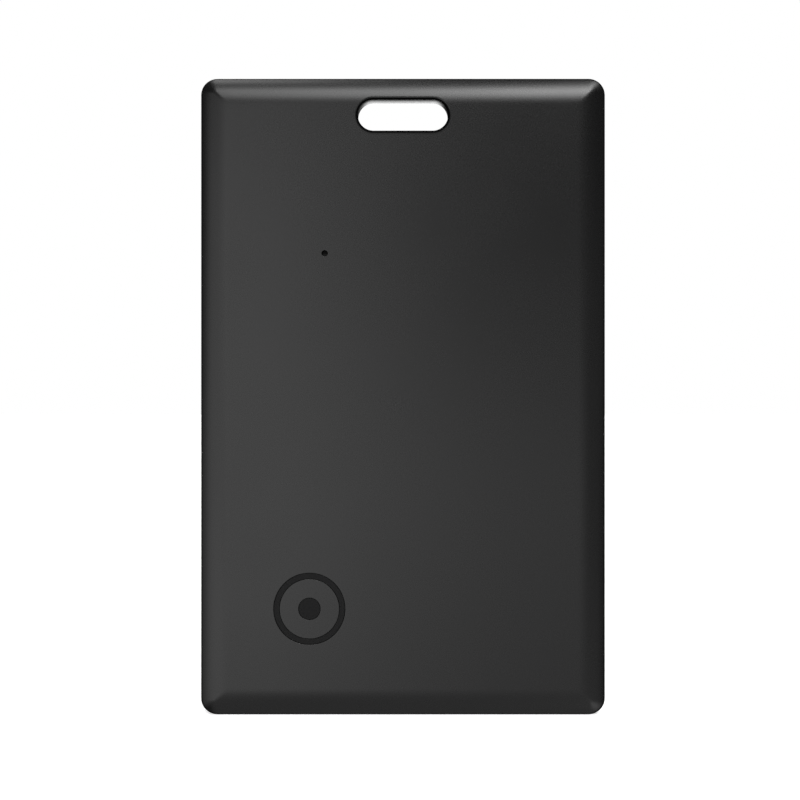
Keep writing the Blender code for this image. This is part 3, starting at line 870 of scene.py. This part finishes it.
def chipMaterial():
    # mould compound, a round mark by pin one, and rows of tinned pads round the foot
    look = chipFinish
    material, shader, signal, place, (x, y, z) = partFinish("mouldCompound")
    fleck = noise(signal, place, 1 / (0.05 * mm), 3.0, 0.7)
    pit = 1 - offCentre(x + 0.33, z - 0.33).rise(look["dot"], look["dot"] + 0.015)
    alongX = (((x * look["pads"]).remainder() - 0.5).size() < 0.26) * ((z - 0.5).size() > 0.47)
    alongZ = (((z * look["pads"]).remainder() - 0.5).size() < 0.26) * ((x - 0.5).size() > 0.47)
    pads = (alongX + alongZ - alongX * alongZ) * (y > 0.72)
    body = fleck.rise(0.45, 0.7).colour(look["body"], look["fleck"])
    feed(
        shader,
        BaseColor=pads.colour(body, tinned["colour"]),
        Metallic=pads,
        Roughness=0.62 + 0.1 * (fleck - 0.5) - 0.25 * pads - 0.22 * pit,
        Normal=bump(signal, fleck - pit * 4, 0.006 * mm),
    )
    return material


boardFinish = {
    "mask": (0.008, 0.060, 0.030),
    "overCopper": (0.016, 0.105, 0.050),
    "core": (0.36, 0.33, 0.17),
    "pitch": 0.62 * mm,
    "trace": 0.17,  # half a trace's width as a share of the pitch
    "block": 4.6 * mm,
    "via": 0.17 * mm,
    "viaSpacing": 3.1 * mm,
    "plating": (0.80, 0.66, 0.34),
    "bore": (0.02, 0.02, 0.02),
    "coreDark": (0.24, 0.22, 0.11),
}


def boardMaterial():
    # solder mask over copper: blocks of parallel traces, plated vias and a bare cut edge
    look = boardFinish
    material, shader, signal, place, (_, depth, _) = partFinish("solderMask")
    values = {0: place, 1: (look["block"],) * 3}
    blocks = signal.node("ShaderNodeVectorMath", {"operation": "SNAP"}, values)
    settings = {"noise_dimensions": "3D"}
    pick = signal.node("ShaderNodeTexWhiteNoise", settings, {"Vector": blocks})
    x, _, z = place.axes()
    upright = ((x / look["pitch"]).remainder() - 0.5).size() < look["trace"]
    level = ((z / look["pitch"]).remainder() - 0.5).size() < look["trace"]
    traces = upright * (pick > 0.62) + level * (pick < 0.34)
    values = {"Vector": place, "Scale": 1 / look["viaSpacing"]}
    cells = signal.node("ShaderNodeTexVoronoi", {"feature": "F1"}, values)
    away = cells * look["viaSpacing"]
    via = away < look["via"]
    hole = away < look["via"] * 0.45
    cut = (depth - 0.5).size() < 0.46
    weave = noise(signal, stretched(signal, place, (1.0, 6.0, 1.0)), 1 / (0.3 * mm), 2.0)
    gloss = noise(signal, place, 1 / (1.8 * mm), 3.0)
    colour = traces.colour(look["mask"], look["overCopper"])
    colour = via.colour(colour, look["plating"])
    colour = hole.colour(colour, look["bore"])
    edge = weave.colour(look["core"], look["coreDark"])
    flank = signal.node("ShaderNodeNewGeometry", output=1).axes()[1].size().rise(0.3, 0.6)
    bare = (1 - flank) * cut
    feed(
        shader,
        BaseColor=bare.colour(colour, edge),
        Metallic=via * (1 - hole) * (1 - bare),
        Roughness=0.36 + 0.12 * (gloss - 0.5) + 0.3 * bare,
        Normal=bump(signal, traces * 2 + via + 0.3 * weave, 0.012 * mm),
    )
    return material


pouchFinish = {"colour": (0.68, 0.69, 0.71), "dull": (0.55, 0.56, 0.58), "band": 0.055}


def pouchMaterial():
    # aluminium laminate: soft crinkles, with a pressed hatch along the sealed sides
    look = pouchFinish
    material, shader, signal, place, (x, _, z) = partFinish("cellPouch")
    crease = noise(signal, place, 1 / (2.6 * mm), 4.0, 0.55)
    fine = noise(signal, place, 1 / (0.25 * mm), 2.0)
    band = 1 - (0.5 - (x - 0.5).size()).rise(look["band"] - 0.01, look["band"])
    px, _, pz = place.axes()
    hatch = ((px + pz) / (0.45 * mm)).remainder().rise(0.35, 0.65) * band
    feed(
        shader,
        BaseColor=crease.rise(0.35, 0.75).colour(look["colour"], look["dull"]),
        Metallic=0.9,
        Roughness=0.36 + 0.12 * (fine - 0.5) + 0.12 * hatch,
        Normal=bump(signal, crease * 3 + fine * 0.2 + hatch * 0.6, 0.03 * mm),
    )
    return material


def piezoMaterial():
    # a fired ceramic disc with a silver face that stops short of its rim
    material, shader, signal, place, (x, y, z) = partFinish("firedCeramic")
    speck = noise(signal, place, 1 / (0.12 * mm), 3.0, 0.7)
    silver = (1 - offCentre(x, z).rise(0.43, 0.436)) * (1 - y.rise(0.3, 0.4))
    ceramic = speck.colour((0.80, 0.79, 0.75), (0.66, 0.65, 0.61))
    metal = speck.colour((0.80, 0.79, 0.76), (0.62, 0.61, 0.58))
    feed(
        shader,
        BaseColor=silver.colour(ceramic, metal),
        Metallic=silver,
        Roughness=0.5 - 0.1 * silver + 0.15 * (speck - 0.5),
        Normal=bump(signal, silver * 2 + speck, 0.004 * mm),
    )
    return material


# sheets and wire: two colours, grain in mm, how drawn out it is, roughness, depth in mm
softs = {
    "tape": ((0.75, 0.76, 0.74), (0.66, 0.67, 0.65), 0.35, 9, 0.58, 0.006),
    "film": ((0.80, 0.80, 0.80), (0.70, 0.71, 0.72), 0.9, 1, 0.22, 0.004),
    "polyimide": ((0.55, 0.26, 0.04), (0.40, 0.16, 0.02), 1.2, 5, 0.2, 0.003),
    "red_wire": ((0.50, 0.02, 0.02), (0.38, 0.014, 0.014), 0.3, 1, 0.42, 0.004),
    "black_wire": ((0.015, 0.015, 0.015), (0.03, 0.03, 0.03), 0.3, 1, 0.42, 0.004),
}
softKeys = ("colour", "other", "grain", "run", "rough", "deep")
softFinishes = {name: dict(zip(softKeys, row)) for name, row in softs.items()}


def softMaterial(name, look):
    material, shader, signal, place, _ = partFinish(name)
    drawn = stretched(signal, place, (1.0, 1.0, look["run"]))
    fibre = noise(signal, drawn, 1 / (look["grain"] * mm), 4.0, 0.6)
    feed(
        shader,
        BaseColor=fibre.rise(0.35, 0.7).colour(look["colour"], look["other"]),
        Roughness=look["rough"] + 0.16 * (fibre - 0.5),
        Normal=bump(signal, fibre, look["deep"] * mm),
    )
    return material


def foamMaterial():
    # closed cells: rounded bubbles about a tenth of a millimetre across
    material, shader, signal, place, _ = partFinish("closedCellFoam")
    values = {"Vector": place, "Scale": 1 / (0.14 * mm)}
    cell = signal.node("ShaderNodeTexVoronoi", {"feature": "F1"}, values)
    feed(
        shader,
        # the colour is painted shade: lighter on the bubbles' tops and darker between them, where the
        # bump dips
        BaseColor=cell.colour((0.060, 0.060, 0.060), (0.020, 0.020, 0.020)),
        Roughness=0.85 - 0.15 * cell,
        Normal=bump(signal, 1 - cell, 0.03 * mm),
    )
    return material


def meshMaterial():
    # woven cloth: two sets of threads, each a sine across the other
    material, shader, signal, place, _ = partFinish("acousticCloth")
    x, _, z = place.axes()
    thread = 2 * math.pi / (0.11 * mm)
    weave = (x * thread).sine() * (z * thread).sine() * 0.5 + 0.5
    feed(
        shader,
        # the colour is painted shade: lighter where the weave's bump rises and darker in its dips
        BaseColor=weave.colour((0.004, 0.004, 0.004), (0.012, 0.012, 0.012)),
        Roughness=0.9 - 0.1 * weave,
        Normal=bump(signal, weave, 0.01 * mm),
    )
    return material


def partFinishes():
    finishes = {"shell": shell, "elastomer": rubber}
    for name, look in metalFinishes.items():
        finishes[name] = metalMaterial(name + "Metal", look)
    for name, look in ceramicFinishes.items():
        finishes[name] = ceramicMaterial(name + "Ceramic", look)
    for name, look in softFinishes.items():
        finishes[name] = softMaterial(name.replace("_w", "W") + "Sheet", look)
    finishes |= {
        "chip": chipMaterial(),
        "board": boardMaterial(),
        "pouch": pouchMaterial(),
        "piezo": piezoMaterial(),
        "foam": foamMaterial(),
        "port_mesh": meshMaterial(),
    }
    return finishes


def finishNodes(finishes):
    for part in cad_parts.values():
        for holder in part.material_slots:
            holder.material = finishes[holder.material.name]


def coat(piece, material):
    piece.data.materials.clear()
    piece.data.materials.append(material)


# stage: camera, floor, world and lights

view = {
    "lens": 50.0,
    "sensor": 36.0,
    "frameWidth": 107.0 * mm,  # what the frame takes in at the card's outline
    "outlineDepth": 1.16 * mm,
    "right": -0.40 * mm,
    "up": -0.455 * mm,
}


def makeCamera():
    data = bpy.data.cameras.new("camera")
    data.lens = view["lens"]
    data.sensor_width = view["sensor"]
    data.clip_start = 0.01
    camera = bpy.data.objects.new("camera", data)
    away = view["frameWidth"] * view["lens"] / view["sensor"]
    y = frontY + view["outlineDepth"] - away
    camera.location = (view["right"], y, cardMiddle[1] + view["up"])
    camera.rotation_euler = (math.radians(90), 0, 0)
    bpy.context.scene.collection.objects.link(camera)
    bpy.context.scene.camera = camera


floorLook = {
    "size": 6.0,
    "seen": (0.9, 0.9, 0.9),
    "glow": 0.64,  # added where the camera sees it, so the floor fades into the background
    "lit": (0.42, 0.42, 0.42),
    "gap": 0.02 * mm,
}


def makeFloor():
    look = floorLook
    half = look["size"] / 2
    low = cadBox[0].z - look["gap"]
    corners = [(-half, -half, low), (half, -half, low), (half, half, low), (-half, half, low)]
    mesh = bpy.data.meshes.new("floor")
    mesh.from_pydata(corners, [], [(0, 1, 2, 3)])
    floor = bpy.data.objects.new("floor", mesh)
    bpy.context.scene.collection.objects.link(floor)
    floor.visible_glossy = False  # the gloss of the card shows the studio, also from below
    material, shader, signal = newFinish("paleFloor")
    seen = signal.node("ShaderNodeLightPath", output=0)
    feed(
        shader,
        BaseColor=seen.colour(look["lit"], look["seen"]),
        Roughness=0.9,
        EmissionColor=(1.0, 1.0, 1.0, 1.0),
        EmissionStrength=seen * look["glow"],
    )
    shader.inputs["Specular IOR Level"].default_value = 0.0
    coat(floor, material)


# soft panels on the studio's dome, in degrees: azimuth from straight ahead of the card with
# right positive, height, half of the width, half of the height, and brightness
studio = {
    "keyFar": (25.0, 48.0, 8.0, 3.0, 14.0),
    "keyRight": (42.3, 52.6, 20.7, 3.3, 8.5),
    "keyMiddle": (12.9, 39.7, 2.2, 6.9, 18.1),
    "keyLow": (0.3, 33.3, 12.8, 2.6, 8.0),
    "keyLeft": (5.6, 44.2, 23.0, 2.0, 10.3),
    "overhead": (-36.6, 67.8, 23.9, 3.7, 8.6),
    "leftWall": (-32.9, -2.7, 19.5, 18.9, 1.16),
    "leftLow": (-60.2, -17.5, 11.6, 19.5, 0.50),
    "nearCamera": (-7.0, 1.6, 2.0, 19.2, 1.86),
    "leftOfCamera": (-12.0, 10.0, 8.0, 5.0, 0.92),
    "underCamera": (-12.0, -20.0, 9.0, 6.0, 0.21),
    "rightUnder": (8.0, -18.0, 10.0, 6.0, 0.16),
    "cameraStrip": (4.9, -4.6, 16.6, 2.0, 1.08),
    "rightStrip": (26.4, 2.7, 38.7, 3.6, 0.40),
    "bounce": (8.0, -44.2, 52.5, 37.4, 0.42),
    "bounceRight": (45.0, -42.0, 20.0, 10.0, 1.0),
    "sideLeft": (-100.0, 5.0, 12.0, 25.0, 0.35),
    "sideRight": (100.0, 5.0, 12.0, 25.0, 0.35),
    "behindSlot": (180.0, -12.0, 14.0, 8.0, 3.7),
    "backWall": (138.0, -12.0, 24.0, 20.0, 0.9),
    "backKey": (-150.0, 45.0, 22.0, 8.0, 4.0),
}
panelEdge = 9.0  # how far a panel's edge fades to each side, in degrees
roomLight = 0.045


def makeWorld():
    world = bpy.data.worlds.new("studio")
    world.use_nodes = True
    bpy.context.scene.world = world
    tree = world.node_tree
    signal = Signal(tree)
    x, y, z = signal.node("ShaderNodeTexCoord", output=0).axes()
    degree = 180 / math.pi
    azimuth = signal.sum("ARCTAN2", x, 0 - y) * degree
    height = signal.sum("ARCSINE", z) * degree
    light = roomLight
    for turn, rise, halfWidth, halfHeight, brightness in studio.values():
        values = {0: azimuth - turn, 1: 180.0, 2: -180.0}
        away = signal.node("ShaderNodeMath", {"operation": "WRAP"}, values).size()
        up = (height - rise).size()
        wide = 1 - away.rise(halfWidth - panelEdge, halfWidth + panelEdge)
        tall = 1 - up.rise(halfHeight - panelEdge, halfHeight + panelEdge)
        light = light + wide * tall * brightness
    seen = signal.node("ShaderNodeLightPath", output=0)
    light = light * (1 - seen) + seen
    background = tree.nodes["Background"]
    background.inputs["Color"].default_value = (1.0, 1.0, 1.0, 1.0)
    tree.links.new(light.socket, background.inputs["Strength"])


shell = shellMaterial()
rubber = rubberMaterial()
coat(makeFrontCover(), shell)
coat(makeBackCover(), shell)
cap, seal, dot = makeButton()
coat(cap, shell)
coat(seal, rubber)
coat(dot, rubber)
print("covers and button made")
finishes = partFinishes()
dome, film = makeSwitch()
coat(dome, finishes["steel"])
coat(film, finishes["film"])
finishNodes(finishes)
print("inner parts finished")

makeCamera()
makeFloor()
makeWorld()
bpy.context.scene.view_settings.view_transform = "Standard"
print("stage made")
